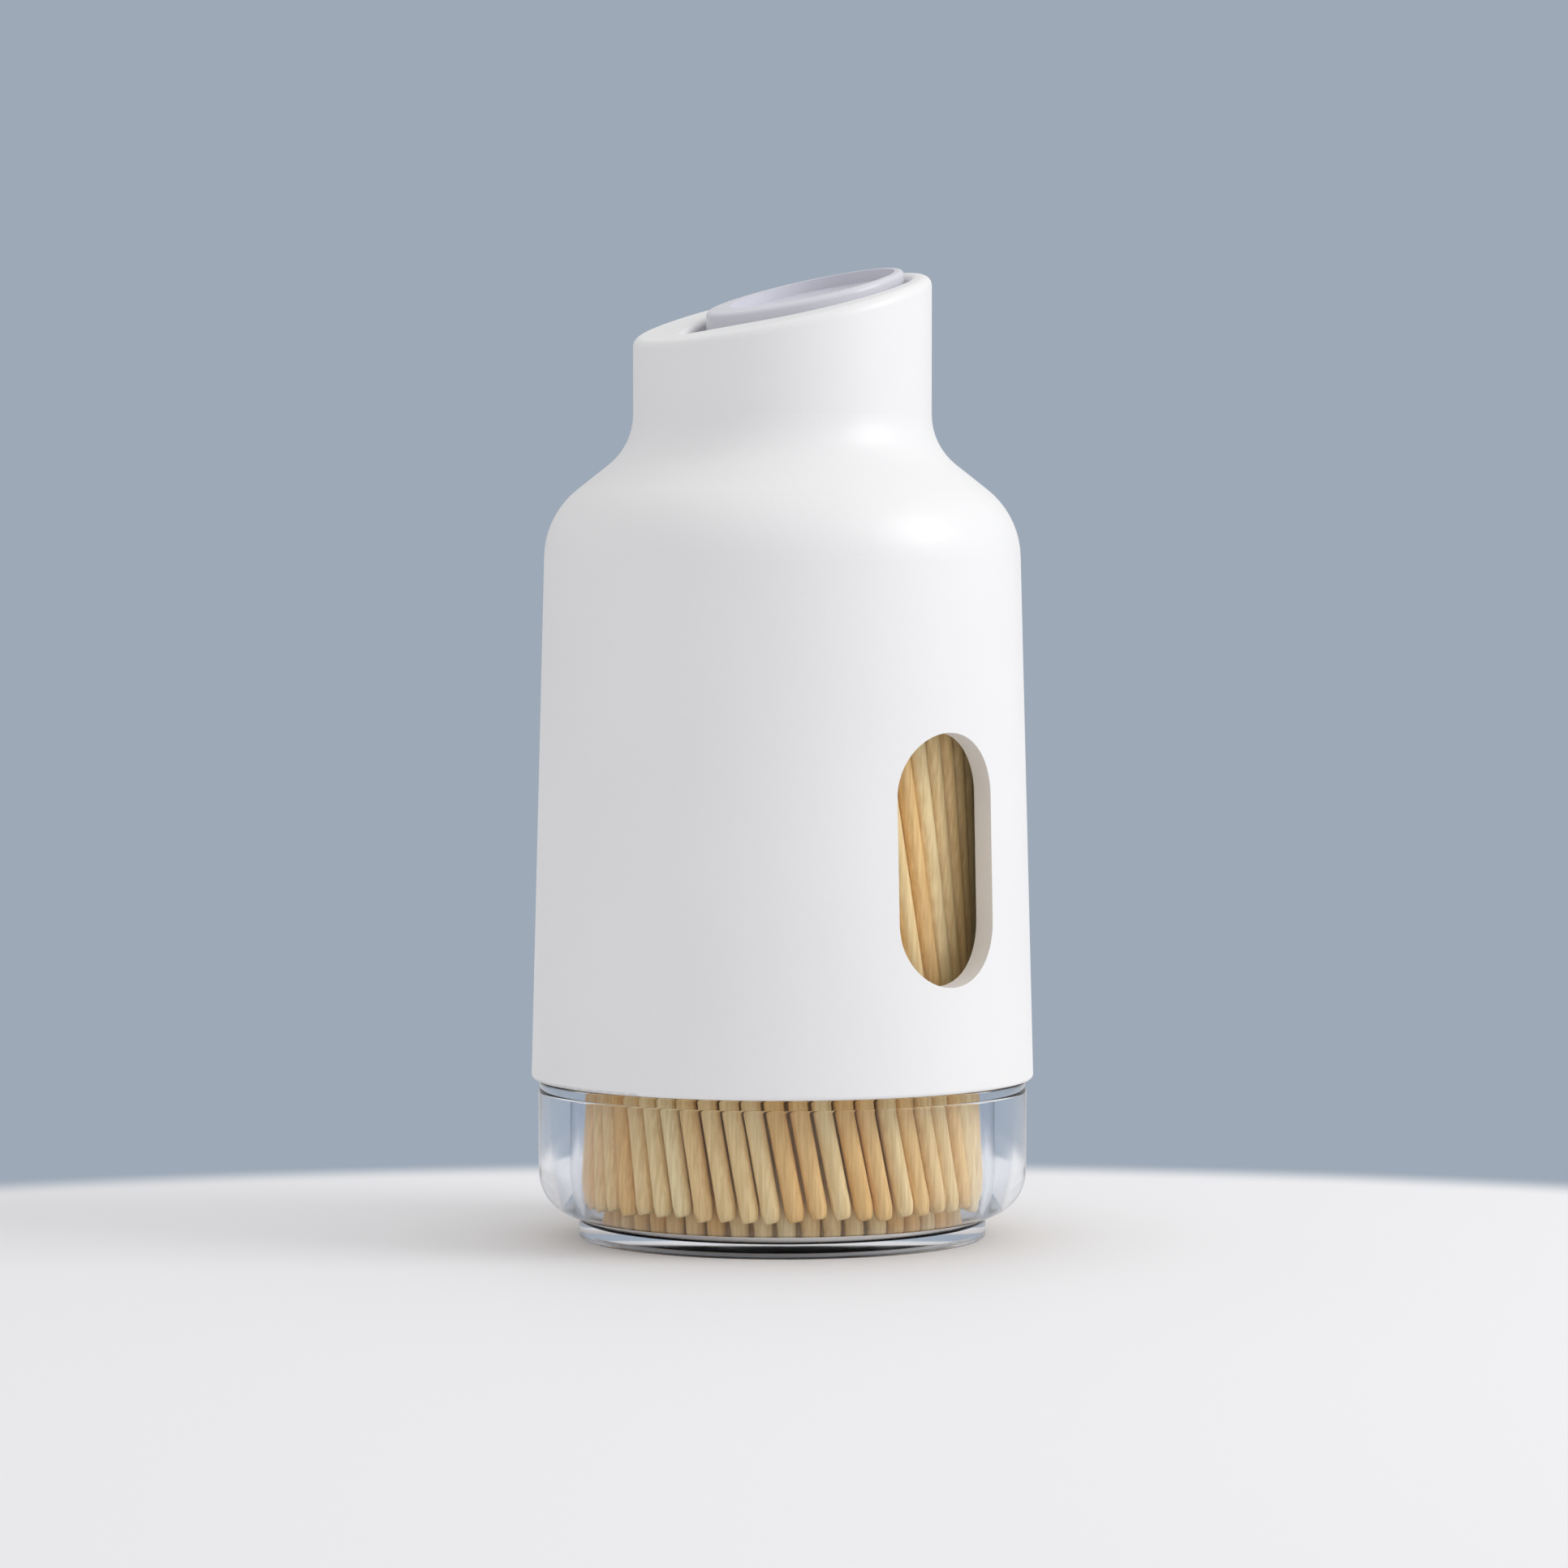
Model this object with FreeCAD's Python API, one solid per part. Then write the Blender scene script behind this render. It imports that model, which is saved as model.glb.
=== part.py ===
import FreeCAD, Part
import math
import os

Vector = FreeCAD.Vector
UP = Vector(0, 0, 1)

# Sizes in millimetres. The origin is the centre of the foot, +Z is up,
# -X is the low side of the mouth, where the sticks come out.

# Clear base bowl
bowl_inset = 0.75
bowl_wall = 1.3
bowl_floor = 0.8
bowl_floor_lift = 0.5
bowl_corner = 4.8
bowl_rim_z = 16.0
foot_height = 2.3
foot_inset = 4.35
foot_width = 1.7
foot_edge = 0.3
bowl_inner_corner_extra = 0.4

# Clear canister
canister_side_gap = 0.25
canister_wall = 0.9
canister_floor = 0.8
canister_corner = 3.5
flange_thickness = 1.1
seal_band_height = 5.9
groove_height = 2.0
groove_depth = 1.1
groove_offset = 2.1

# White shell
shell_bottom_radius = 27.0
shell_wall = 2.4
side_draft = 1.45
shoulder_bend = 9.4
shoulder_slope = 51.7
neck_radius = 16.0
neck_wall = 1.5
neck_bend = 6.9
mouth_height = 11.55
mouth_tilt = 14.1
mouth_plate = 2.4
mouth_edge = 1.0
opening_edge = 0.7
seal_land_height = 7.0
shell_foot_edge = 0.4

# Window in the shell
window_turn = -78.0
window_z = 41.7
window_width = 13.4
window_height = 26.7

# Where the shell's turned faces start and end, clear of its other features
seam_turn = 115.0

# Button, its dish and the exit notch beside it
button_x = 2.8
button_radius = 10.6
button_gap = 0.8
button_proud = 1.0
button_roof = 3.2
button_wall = 1.2
button_skirt = 11.1
button_edge = 0.5
dish_offset = 0.9
dish_radius = 9.05
dish_edge_depth = 1.2
dish_centre_depth = 1.9
exit_x = -9.6
exit_radius = 2.0
skirt_slot_width = 7.0

# Motion
button_travel = 8.0

# Rack and pinion
gear_module = 0.6
pinion_teeth = 12
tooth_addendum = 0.42
tooth_dedendum = 0.57
pressure_angle = 20.0
backlash = 0.08
pinion_width = 4.0
rack_width = 3.4
rack_back = 1.4
stem_back = 2.0
mesh_reach = 1.2
pinion_x = -2.3
lift_clearance = 0.6

# Axle, clips and frame
axle_radius = 0.75
clip_radius = 1.6
clip_thickness = 0.4
frame_drop = 2.2
frame_thickness = 1.6
frame_gap = 0.85
cheek_thickness = 1.6
cheek_half_length = 3.0
cheek_over_axle = 3.6
canister_gap = 1.0

# Screws and bosses
boss_inset = 4.5
boss_radius = 2.5
boss_count = 3
boss_first_turn = 60.0
screw_radius = 1.0
screw_length = 6.5
screw_head_radius = 1.9
screw_head_height = 1.2
screw_slot_width = 0.5
screw_slot_depth = 0.5

# Return spring and its seats
spring_x = 7.0
spring_radius = 2.7
spring_wire = 0.6
spring_turns = 9
post_radius = 2.0
post_height = 3.4
spring_seat_radius = 3.6
plunger_plate = 1.6
spring_length = 19.4

# Lifter, its grip and the guides
grip_wall = 0.7
holder_wall = 0.4
exit_guide_wall = 0.8
exit_guide_length = 7.0
guide_below_skirt = 4.0
funnel_height = 5.0
funnel_mouth_radius = 2.4
funnel_wall = 0.8

# Sticks
stick_length = 65.0
stick_diameter = 2.1
stick_point = 6.0
stick_tip_radius = 0.3
stick_foot = 1.0
stick_foot_radius = 0.7
stick_lean = 11.0
stick_headroom = 2.18
stick_spacing = 0.16
ring_gap = 0.2
ring_step = 2.4
ring_names = ["toothpicks_outer", "toothpicks_middle", "toothpicks_inner"]

# Clearances
slip = 0.2
running_fit = 0.05
seat_gap = 0.05
free_gap = 0.4
grip_gap = 0.1
stick_gap = 0.15
stick_way = 0.3

# Values worked out from the sizes above
stick_radius = stick_diameter / 2
bowl_radius = shell_bottom_radius - bowl_inset
foot_radius = bowl_radius - foot_inset
shoulder_radius = shell_bottom_radius - side_draft
canister_radius = shoulder_radius - shell_wall - canister_side_gap
canister_bore_radius = canister_radius - canister_wall
boss_circle = canister_bore_radius - boss_inset
ring_radii = [canister_bore_radius - stick_radius - ring_gap - ring_step * ring for ring in range(len(ring_names))]
lean_angle = math.radians(stick_lean)
canister_seat_z = bowl_floor_lift + bowl_floor
canister_floor_z = canister_seat_z + canister_floor
flange_top_z = bowl_rim_z + flange_thickness
shell_bottom_z = flange_top_z + seat_gap
seal_land_radius = shell_bottom_radius - shell_wall
seal_band_radius = seal_land_radius - free_gap
groove_radius = seal_band_radius - groove_depth


def stick_rest_z(ring_radius):
    """Height of a leaning stick's foot, on the canister's floor or corner."""
    corner_start = canister_bore_radius - canister_corner
    lift = canister_floor_z + canister_corner
    room = canister_corner - stick_gap
    beyond = max(0.0, ring_radius + stick_foot_radius - corner_start)
    return lift - math.sqrt(max(0.0, room * room - beyond * beyond))


canister_top_z = stick_rest_z(ring_radii[0]) + stick_length * math.cos(lean_angle) + stick_headroom
frame_z = canister_top_z + canister_gap
shoulder_z = frame_z + frame_drop
side_height = shoulder_z - flange_top_z


def draft_angle():
    return math.degrees(math.atan((shell_bottom_radius - shoulder_radius) / side_height))


def shoulder_centre():
    draft = math.radians(draft_angle())
    x = shoulder_radius - shoulder_bend * math.cos(draft)
    z = shoulder_z - shoulder_bend * math.sin(draft)
    return (x, z)


def shoulder_rise():
    """Height between the middles of the shoulder's two bends, joined by a straight at shoulder_slope."""
    slope = math.radians(shoulder_slope)
    across = neck_radius + neck_bend - shoulder_centre()[0]
    return (shoulder_bend + neck_bend - across * math.cos(slope)) / math.sin(slope)


neck_z = shoulder_centre()[1] + shoulder_rise()
neck_bore_radius = neck_radius - neck_wall
mouth_z = neck_z + mouth_height
mouth_slope = math.tan(math.radians(mouth_tilt))
opening_radius = button_radius + button_gap
frame_top_z = frame_z + frame_thickness
pitch_radius = gear_module * pinion_teeth / 2
tooth_pitch = math.pi * gear_module
lifter_pitch_x = pinion_x - pitch_radius
stem_pitch_x = pinion_x + pitch_radius
lifter_back_x = lifter_pitch_x - rack_back
stem_back_x = stem_pitch_x + stem_back
drop_per_level = 1 / math.cos(math.radians(mouth_tilt))
holder_bore = stick_radius + grip_gap + grip_wall + running_fit
holder_radius = holder_bore + holder_wall


def mouth_level(x, raised=0.0):
    """Height of the plane of the mouth at x, or of a plane parallel to it."""
    return mouth_z + mouth_slope * x + raised * drop_per_level


button_low_x = button_x - button_radius
button_roof_low_z = mouth_level(button_low_x, button_proud - button_roof)
pinion_z = button_roof_low_z - 2 * button_travel - mesh_reach - lift_clearance
skirt_bottom_z = mouth_level(button_low_x, button_proud) - button_skirt
guide_bottom_z = skirt_bottom_z - guide_below_skirt
ready_stick_top_z = mouth_level(exit_x - stick_radius, -mouth_plate) - 0.8


# Outlines, turned solids and planes

def corner_point(spot):
    return Vector(spot[0], 0, spot[1])


def outline(steps):
    """Closed wire in the XZ plane. A step is a corner, or an arc's middle and end."""
    edges = []
    here = corner_point(steps[0])
    for step in steps[1:] + [steps[0]]:
        if isinstance(step[0], tuple):
            middle = corner_point(step[0])
            there = corner_point(step[1])
            edges.append(Part.Arc(here, middle, there).toShape())
        else:
            there = corner_point(step)
            if (there - here).Length > 1e-6:
                edges.append(Part.LineSegment(here, there).toShape())
        here = there
    return Part.Wire(edges)


def turned(steps, x=0.0):
    """Solid of revolution of an outline about the vertical line at x."""
    solid = Part.Face(outline(steps)).revolve(Vector(0, 0, 0), UP, 360)
    solid.translate(Vector(x, 0, 0))
    return solid


def on_circle(centre, radius, degrees):
    turn = math.radians(degrees)
    return (centre[0] + radius * math.cos(turn), centre[1] + radius * math.sin(turn))


def bend(centre, radius, first, last):
    """Arc step from the angle first to the angle last, in degrees."""
    return (on_circle(centre, radius, (first + last) / 2), on_circle(centre, radius, last))


def rod(radius, low, high, x=0.0, y=0.0):
    return Part.makeCylinder(radius, high - low, Vector(x, y, low))


def block(x_range, y_range, z_range):
    low = Vector(x_range[0], y_range[0], z_range[0])
    return Part.makeBox(x_range[1] - x_range[0], y_range[1] - y_range[0], z_range[1] - z_range[0], low)


def below_mouth(raised):
    """Half space under a plane parallel to the mouth, as a large block."""
    half = 3 * shell_bottom_radius
    depth = 2 * (mouth_z + half)
    solid = block((-half, half), (-half, half), (-depth, 0))
    solid.rotate(Vector(0, 0, 0), Vector(0, 1, 0), -mouth_tilt)
    solid.translate(Vector(0, 0, mouth_level(0, raised)))
    return solid


def one_solid(shape):
    """The single solid of a result, tidied of split faces."""
    tidy = shape.removeSplitter()
    solids = sorted(tidy.Solids, key=lambda solid: solid.Volume)
    return solids[-1]


# Clear base

def make_base_bowl():
    """Low clear bowl on a foot ring, with a large outer corner."""
    outer_centre = (bowl_radius - bowl_corner, foot_height + bowl_corner)
    reach = math.degrees(math.acos((foot_radius - outer_centre[0]) / bowl_corner))
    foot_top = on_circle(outer_centre, bowl_corner, -reach)
    inner_corner = bowl_corner + bowl_wall + bowl_inner_corner_extra
    inner_radius = bowl_radius - bowl_wall
    inner_centre = (inner_radius - inner_corner, canister_seat_z + inner_corner)
    foot_inner = foot_radius - foot_width
    steps = [
        (0, bowl_floor_lift),
        (foot_inner, bowl_floor_lift),
        (foot_inner, foot_edge),
        (foot_inner + foot_edge, 0),
        (foot_radius - foot_edge, 0),
        (foot_radius, foot_edge),
        foot_top,
        bend(outer_centre, bowl_corner, -reach, 0),
        (bowl_radius, bowl_rim_z),
        (inner_radius, bowl_rim_z),
        (inner_radius, inner_centre[1]),
        bend(inner_centre, inner_corner, 0, -90),
        (0, canister_seat_z),
    ]
    return turned(steps)


def make_canister():
    """Clear cup with the flange that carries the shell and the collar for the seal."""
    outer_corner = canister_corner + canister_wall
    outer_centre = (canister_radius - outer_corner, canister_seat_z + outer_corner)
    inner_centre = (canister_bore_radius - canister_corner, canister_floor_z + canister_corner)
    groove_low = flange_top_z + groove_offset
    steps = [
        (0, canister_seat_z),
        (outer_centre[0], canister_seat_z),
        bend(outer_centre, outer_corner, -90, 0),
        (canister_radius, bowl_rim_z),
        (bowl_radius, bowl_rim_z),
        (bowl_radius, flange_top_z),
        (seal_band_radius, flange_top_z),
        (seal_band_radius, groove_low),
        (groove_radius, groove_low),
        (groove_radius, groove_low + groove_height),
        (seal_band_radius, groove_low + groove_height),
        (seal_band_radius, flange_top_z + seal_band_height),
        (canister_radius, flange_top_z + seal_band_height),
        (canister_radius, canister_top_z),
        (canister_bore_radius, canister_top_z),
        (canister_bore_radius, inner_centre[1]),
        bend(inner_centre, canister_corner, 0, -90),
        (0, canister_floor_z),
    ]
    return turned(steps)


def make_seal_ring():
    """Elastic ring in the collar's groove."""
    inner = groove_radius + running_fit
    outer = seal_land_radius - running_fit
    section = (outer - inner) / 2
    middle_z = flange_top_z + groove_offset + groove_height / 2
    return Part.makeTorus((inner + outer) / 2, section, Vector(0, 0, middle_z), UP)


# White shell

def shoulder_line(lower_radius, upper_radius):
    """Tangent points and slope of the line between the two bends of the shoulder."""
    lower = shoulder_centre()
    upper = (neck_radius + neck_bend, neck_z)
    across = (upper[0] - lower[0], upper[1] - lower[1])
    distance = math.hypot(across[0], across[1])
    heading = math.degrees(math.atan2(across[1], across[0]))
    slope = heading - math.degrees(math.acos((lower_radius + upper_radius) / distance))
    return lower, upper, slope


def shell_body(wall, upper_wall, bottom_z):
    """Shell's turned form at a depth of wall under its outer surface, up past the mouth."""
    lower_radius = shoulder_bend - wall
    upper_radius = neck_bend + upper_wall
    lower, upper, slope = shoulder_line(lower_radius, upper_radius)
    draft = draft_angle()
    top_z = mouth_level(neck_radius) + shell_wall
    side_top = on_circle(lower, lower_radius, draft)
    neck_start = on_circle(upper, upper_radius, 180 + slope)
    steps = [
        (0, bottom_z),
        (shell_bottom_radius - wall, bottom_z),
        side_top,
        bend(lower, lower_radius, draft, slope),
        neck_start,
        bend(upper, upper_radius, 180 + slope, 180),
        (neck_radius - upper_wall, top_z),
        (0, top_z),
    ]
    body = turned(steps)
    body.rotate(Vector(0, 0, 0), UP, seam_turn)
    return body


def opening_prism():
    """Upright prism of the mouth's opening: the button's circle drawn out to the notch."""
    span = button_x - exit_x
    lean = math.acos((opening_radius - exit_radius) / span)
    big = (button_x - opening_radius * math.cos(lean), opening_radius * math.sin(lean))
    small = (exit_x - exit_radius * math.cos(lean), exit_radius * math.sin(lean))
    low_z = neck_z
    corners = [Vector(big[0], big[1], low_z), Vector(small[0], small[1], low_z)]
    mirrored = [Vector(small[0], -small[1], low_z), Vector(big[0], -big[1], low_z)]
    far_side = Vector(button_x + opening_radius, 0, low_z)
    tip = Vector(exit_x - exit_radius, 0, low_z)
    edges = [
        Part.LineSegment(corners[0], corners[1]).toShape(),
        Part.Arc(corners[1], tip, mirrored[0]).toShape(),
        Part.LineSegment(mirrored[0], mirrored[1]).toShape(),
        Part.Arc(mirrored[1], far_side, corners[0]).toShape(),
    ]
    return Part.Face(Part.Wire(edges)).extrude(Vector(0, 0, 2 * mouth_height + shell_wall))


def window_cutter():
    """Upright stadium pushed through the shell's wall at the window's place."""
    half = window_width / 2
    straight = window_height / 2 - half
    steps = [
        (half, window_z - straight),
        (half, window_z + straight),
        bend((0, window_z + straight), half, 0, 180),
        (-half, window_z - straight),
        bend((0, window_z - straight), half, 180, 360),
    ]
    cutter = Part.Face(outline(steps)).extrude(Vector(0, -2 * shell_bottom_radius, 0))
    cutter.rotate(Vector(0, 0, 0), UP, window_turn + 90)
    return cutter


def boss_places():
    for index in range(boss_count):
        turn = math.radians(boss_first_turn + index * 360 / boss_count)
        yield (boss_circle * math.cos(turn), boss_circle * math.sin(turn))


def edges_on(shape, test):
    return [edge for edge in shape.Edges if all(test(vertex.Point) for vertex in edge.Vertexes)]


def make_outer_shell():
    """Drafted shell with shoulder, neck, slanted mouth, window and three inner bosses."""
    whole = shell_body(0, 0, shell_bottom_z)
    outer = whole.common(below_mouth(0))
    rim = edges_on(outer, lambda spot: abs(spot.z - mouth_level(spot.x)) < 1e-3)
    outer = outer.makeFillet(mouth_edge, rim)
    foot = edges_on(outer, lambda spot: abs(spot.z - shell_bottom_z) < 1e-3)
    outer = outer.makeFillet(shell_foot_edge, foot)
    hollow = shell_body(shell_wall, neck_wall, shell_bottom_z - 1)
    hollow = hollow.common(below_mouth(-mouth_plate))
    land = rod(seal_land_radius, shell_bottom_z - 1, shell_bottom_z + seal_land_height)
    shell = outer.cut(hollow.fuse(land))
    shell = shell.cut(opening_prism())
    wall_middle = shell_body(shell_wall / 2, neck_wall / 2, shell_bottom_z)
    guide_room = rod(neck_bore_radius, guide_bottom_z - free_gap, mouth_z)
    for x, y in boss_places():
        boss = rod(boss_radius, frame_top_z, neck_z, x, y).common(wall_middle)
        shell = shell.fuse(boss.cut(guide_room))
        shell = shell.cut(rod(screw_radius, frame_top_z - 1, frame_z + screw_length + 0.5, x, y))
    shell = shell.cut(window_cutter())
    shell = one_solid(shell)

    def on_opening(spot):
        level = abs(spot.z - mouth_level(spot.x)) < 1e-3
        return level and math.hypot(spot.x, spot.y) < neck_radius - mouth_edge - 0.05
    return shell.makeFillet(opening_edge, edges_on(shell, on_opening))


# Button and what it drives

def make_press_button():
    """Round cap with a slanted dished top and an open skirt, slotted for the lifter."""
    low = skirt_bottom_z
    cap = rod(button_radius, low, mouth_z + mouth_height, button_x)
    cap = cap.common(below_mouth(button_proud))
    rim = edges_on(cap, lambda spot: abs(spot.z - mouth_level(spot.x, button_proud)) < 1e-3)
    cap = cap.makeFillet(button_edge, rim)
    room = rod(button_radius - button_wall, low - 1, mouth_z + mouth_height, button_x)
    room = room.common(below_mouth(button_proud - button_roof))
    slot = block((button_low_x - 1, button_x - button_radius / 2), (-skirt_slot_width / 2, skirt_slot_width / 2),
                 (low - 1, mouth_z + mouth_height)).common(below_mouth(button_proud - button_roof))
    cap = cap.cut(room).cut(slot)
    return one_solid(cap.cut(dish_cutter()))


def dish_cutter():
    """Shallow dish in the plane of the button's rim, deepest at its middle."""
    sag = dish_centre_depth - dish_edge_depth
    steps = [
        (0, -dish_centre_depth),
        ((dish_radius / 2, -dish_centre_depth + sag / 4), (dish_radius, -dish_edge_depth)),
        (dish_radius, dish_centre_depth),
        (0, dish_centre_depth),
    ]
    dish = turned(steps)
    dish.rotate(Vector(0, 0, 0), Vector(0, 1, 0), -mouth_tilt)
    x = button_x + dish_offset
    dish.translate(Vector(x, 0, mouth_level(x, button_proud)))
    return dish


def rack_face(pitch_x, side, low, high, back_x):
    """Rack between two heights. Side is +1 where its teeth point to +X."""
    slope = math.tan(math.radians(pressure_angle))
    half = (tooth_pitch / 2 - backlash) / 2
    root_x = pitch_x - side * tooth_dedendum
    tip_x = pitch_x + side * tooth_addendum
    body_x = sorted([back_x, root_x])
    rack = block((body_x[0], body_x[1]), (-rack_width / 2, rack_width / 2), (low, high))
    first = math.ceil((low - pinion_z) / tooth_pitch - 0.5 + half / tooth_pitch)
    last = math.floor((high - pinion_z) / tooth_pitch - 0.5 - half / tooth_pitch)
    for index in range(first, last + 1):
        middle = pinion_z + (index + 0.5) * tooth_pitch
        root_half = half + tooth_dedendum * slope
        tip_half = half - tooth_addendum * slope
        sink_x = root_x - side * 0.2
        corners = [(sink_x, middle - root_half), (root_x, middle - root_half), (tip_x, middle - tip_half),
                   (tip_x, middle + tip_half), (root_x, middle + root_half), (sink_x, middle + root_half)]
        tooth = Part.Face(outline(corners)).extrude(Vector(0, rack_width, 0))
        tooth.translate(Vector(0, -rack_width / 2, 0))
        rack = rack.fuse(tooth)
    return rack.common(block((-50, 50), (-50, 50), (low, high)))


def make_button_plunger():
    """Plate fixed under the button's roof, with the driving rack and the spring's upper seat."""
    roof = button_proud - button_roof
    plate_radius = button_radius - button_wall - slip
    plate = rod(plate_radius, skirt_bottom_z, mouth_z + mouth_height, button_x)
    plate = plate.common(below_mouth(roof)).cut(below_mouth(roof - plunger_plate))
    keep = block((lifter_pitch_x + 1.3, shell_bottom_radius), (-50, 50), (0, 2 * mouth_z))
    plate = plate.common(keep)
    under = below_mouth(roof - plunger_plate / 2)
    rack_top = pinion_z + button_travel + mesh_reach
    rack = rack_face(stem_pitch_x, -1, pinion_z - mesh_reach, rack_top, stem_back_x)
    stem = block((stem_pitch_x + tooth_dedendum, stem_back_x), (-rack_width / 2, rack_width / 2),
                 (rack_top - 0.5, mouth_z + mouth_height)).common(under)
    seat_z = frame_top_z + spring_length
    seat = rod(spring_seat_radius, seat_z, mouth_z + mouth_height, spring_x).common(under)
    pin = rod(post_radius, seat_z - post_height, seat_z + 0.5, spring_x)
    return one_solid(plate.fuse(rack).fuse(stem).fuse(seat).fuse(pin))


def arc_to(start, control, end):
    """Arc from start to end whose two tangents meet at control."""
    middle = (start + end) * 0.5
    half_turn = math.acos(min(1.0, (end - start).Length / 2 / (control - start).Length))
    share = math.tan(half_turn / 2) / math.tan(half_turn)
    return Part.Arc(start, middle + (control - middle) * share, end).toShape()


def biarc(start, start_way, end, end_way):
    """Two tangent arcs between two points with given directions."""
    across = end - start
    both = start_way + end_way
    a = 2 * start_way.dot(end_way) - 2
    b = -2 * across.dot(both)
    c = across.dot(across)
    leg = (-b - math.sqrt(b * b - 4 * a * c)) / (2 * a)
    first = start + start_way * leg
    second = end - end_way * leg
    joint = (first + second) * 0.5
    return [arc_to(start, first, joint), arc_to(joint, second, end)]


def make_return_spring():
    """Compression spring between the frame and the plunger's seat."""
    low = frame_top_z + spring_wire / 2 + seat_gap
    rise = (spring_length - spring_wire - 2 * seat_gap) / (2 * spring_turns)
    slope = rise / math.pi / spring_radius
    edges = []
    for half in range(2 * spring_turns):
        side = 1 if half % 2 == 0 else -1
        start = Vector(side * spring_radius, 0, half * rise)
        end = Vector(-side * spring_radius, 0, (half + 1) * rise)
        start_way = Vector(0, side, slope).normalize()
        end_way = Vector(0, -side, slope).normalize()
        edges += biarc(start, start_way, end, end_way)
    section = Part.makeCircle(spring_wire / 2, Vector(spring_radius, 0, 0), Vector(0, 1, slope))
    spring = Part.Wire(edges).makePipeShell([Part.Wire([section])], True, False)
    print("spring gap between turns", round(2 * rise - spring_wire, 2))
    spring.translate(Vector(spring_x, 0, low))
    return spring.Solids[0]


def involute_point(base, radius, pitch_half, side):
    """Point of a tooth's flank at a radius. The tooth is centred on +X."""
    turn = math.acos(min(1.0, base / radius))
    at_pitch = math.acos(base / pitch_radius)
    spread = (math.tan(at_pitch) - at_pitch) - (math.tan(turn) - turn)
    angle = side * (pitch_half + spread)
    return Vector(radius * math.cos(angle), 0, radius * math.sin(angle))


def make_drive_pinion():
    """Twelve-tooth pinion with involute flanks, bored for its axle."""
    base = pitch_radius * math.cos(math.radians(pressure_angle))
    root = pitch_radius - tooth_dedendum
    tip = pitch_radius + tooth_addendum
    pitch_half = (tooth_pitch / 2 - backlash) / 2 / pitch_radius
    gear = Part.makeCylinder(root, pinion_width, Vector(0, 0, 0), Vector(0, 1, 0))
    middle = (base + tip) / 2
    for index in range(pinion_teeth):
        left = [involute_point(base, radius, pitch_half, 1) for radius in (base, middle, tip)]
        right = [involute_point(base, radius, pitch_half, -1) for radius in (base, middle, tip)]
        sunk = root - 0.4
        left_root = Vector(sunk * left[0].x / base, 0, sunk * left[0].z / base)
        right_root = Vector(left_root.x, 0, -left_root.z)
        edges = [
            Part.LineSegment(left_root, left[0]).toShape(),
            Part.Arc(left[0], left[1], left[2]).toShape(),
            Part.Arc(left[2], Vector(tip, 0, 0), right[2]).toShape(),
            Part.Arc(right[2], right[1], right[0]).toShape(),
            Part.LineSegment(right[0], right_root).toShape(),
            Part.LineSegment(right_root, left_root).toShape(),
        ]
        tooth = Part.Face(Part.Wire(edges)).extrude(Vector(0, pinion_width, 0))
        tooth.rotate(Vector(0, 0, 0), Vector(0, 1, 0), index * 360 / pinion_teeth)
        gear = gear.fuse(tooth)
    bore = axle_radius + running_fit
    gear = gear.cut(Part.makeCylinder(bore, pinion_width + 2, Vector(0, -1, 0), Vector(0, 1, 0)))
    gear.translate(Vector(pinion_x, -pinion_width / 2, pinion_z))
    return one_solid(gear)


def cheek_face_y():
    return pinion_width / 2 + 0.3


def make_pinion_axle():
    """Steel pin through both cheeks and the pinion."""
    end = cheek_face_y() + cheek_thickness + 2 * clip_thickness
    return Part.makeCylinder(axle_radius, 2 * end, Vector(pinion_x, -end, pinion_z), Vector(0, 1, 0))


def make_axle_clips():
    """Two clips on the axle, one outside each cheek."""
    clips = []
    outside = cheek_face_y() + cheek_thickness
    for low in (outside, -outside - clip_thickness):
        place = Vector(pinion_x, low, pinion_z)
        ring = Part.makeCylinder(clip_radius, clip_thickness, place, Vector(0, 1, 0))
        hole = Part.makeCylinder(axle_radius, clip_thickness, place, Vector(0, 1, 0))
        mouth = block((pinion_x - axle_radius * 0.8, pinion_x + axle_radius * 0.8), (low, low + clip_thickness),
                      (pinion_z, pinion_z + 2 * clip_radius))
        clips.append(one_solid(ring.cut(hole).cut(mouth)))
    return Part.makeCompound(clips)


def make_rack_lifter():
    """Rack on the pinion's other side, joined to the tube that holds the stick's grip."""
    top = pinion_z + mesh_reach
    rack = rack_face(lifter_pitch_x, 1, pinion_z - button_travel - mesh_reach, top, lifter_back_x)
    holder_low = frame_top_z + lift_clearance
    web = block((exit_x, lifter_back_x + 0.2), (-holder_wall * 2, holder_wall * 2), (holder_low, top))
    holder = rod(holder_radius, holder_low, top, exit_x)
    body = rack.fuse(web).fuse(holder)
    return one_solid(body.cut(rod(holder_bore, holder_low - 1, top + 1, exit_x)))


def make_lifter_grip():
    """Elastic sleeve between the holder and the stick."""
    low = frame_top_z + lift_clearance
    high = pinion_z + mesh_reach
    bore = rod(stick_radius + grip_gap, low - 1, high + 1, exit_x)
    return rod(holder_bore - running_fit, low, high, exit_x).cut(bore)


# Frame, guides and fasteners

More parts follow.
